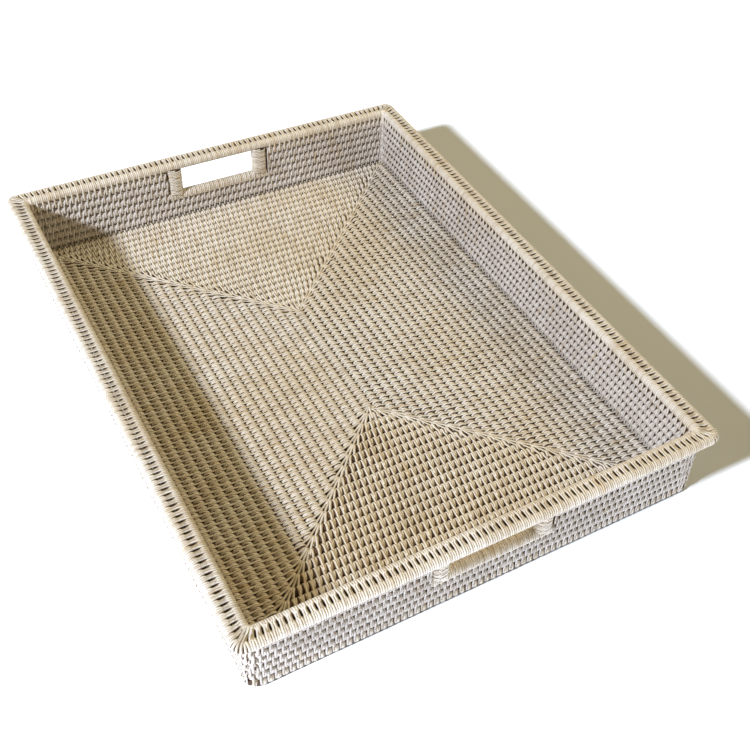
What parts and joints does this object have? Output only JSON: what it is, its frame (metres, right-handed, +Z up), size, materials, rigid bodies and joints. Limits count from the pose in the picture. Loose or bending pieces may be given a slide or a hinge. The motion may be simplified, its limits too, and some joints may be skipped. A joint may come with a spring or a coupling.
{
  "type": "serving tray",
  "caption": "Rectangular serving tray of whitewashed coiled cane, with upright walls, a double wrapped rim and a hand hole in each short end.",
  "frame": {"origin": "centre of the face that the tray rests on", "axes": "+X along the tray towards its near end, +Y to the right, +Z up out of the tray"},
  "size_m": [0.5984, 0.4464, 0.0757],
  "materials": {
    "cane": "matt bare cane, browned in the gaps",
    "floor_peel": "whitewashed split peel, matt to satin",
    "wall_peel": "whitewashed split peel, matt",
    "rim_peel": "whitewashed split peel, satin"
  },
  "bodies": {
    "root": {"floor_spine": "cane", "floor_round_01": "cane", "floor_round_02": "cane", "floor_round_03": "cane", "floor_round_04": "cane", "floor_round_05": "cane", "floor_round_06": "cane", "floor_round_07": "cane", "floor_round_08": "cane", "floor_round_09": "cane", "floor_round_10": "cane", "floor_round_11": "cane", "floor_round_12": "cane", "floor_round_13": "cane", "floor_round_14": "cane", "floor_round_15": "cane", "floor_round_16": "cane", "floor_round_17": "cane", "floor_round_18": "cane", "floor_round_19": "cane", "floor_round_20": "cane", "floor_round_21": "cane", "base_round": "cane", "wall_rod_row_1": "cane", "wall_rod_row_2": "cane", "wall_rod_row_3": "cane", "wall_rod_row_4": "cane", "wall_rod_row_5": "cane", "wall_rod_row_6": "cane", "rim_rod_inner": "cane", "rim_rod_outer": "cane", "jamb_post_near_left": "cane", "jamb_post_near_right": "cane", "jamb_post_far_left": "cane", "jamb_post_far_right": "cane", "floor_binding": "floor_peel", "base_binding": "floor_peel", "side_binding_left": "wall_peel", "side_binding_right": "wall_peel", "end_binding_lower_near": "wall_peel", "end_binding_lower_far": "wall_peel", "end_binding_upper_near_left": "wall_peel", "end_binding_upper_near_right": "wall_peel", "end_binding_upper_far_left": "wall_peel", "end_binding_upper_far_right": "wall_peel", "sill_binding_near": "rim_peel", "sill_binding_far": "rim_peel", "jamb_binding_near_left": "rim_peel", "jamb_binding_near_right": "rim_peel", "jamb_binding_far_left": "rim_peel", "jamb_binding_far_right": "rim_peel", "rim_binding_left": "rim_peel", "rim_binding_right": "rim_peel", "rim_binding_near": "rim_peel", "rim_binding_far": "rim_peel"}
  },
  "joints": []
}
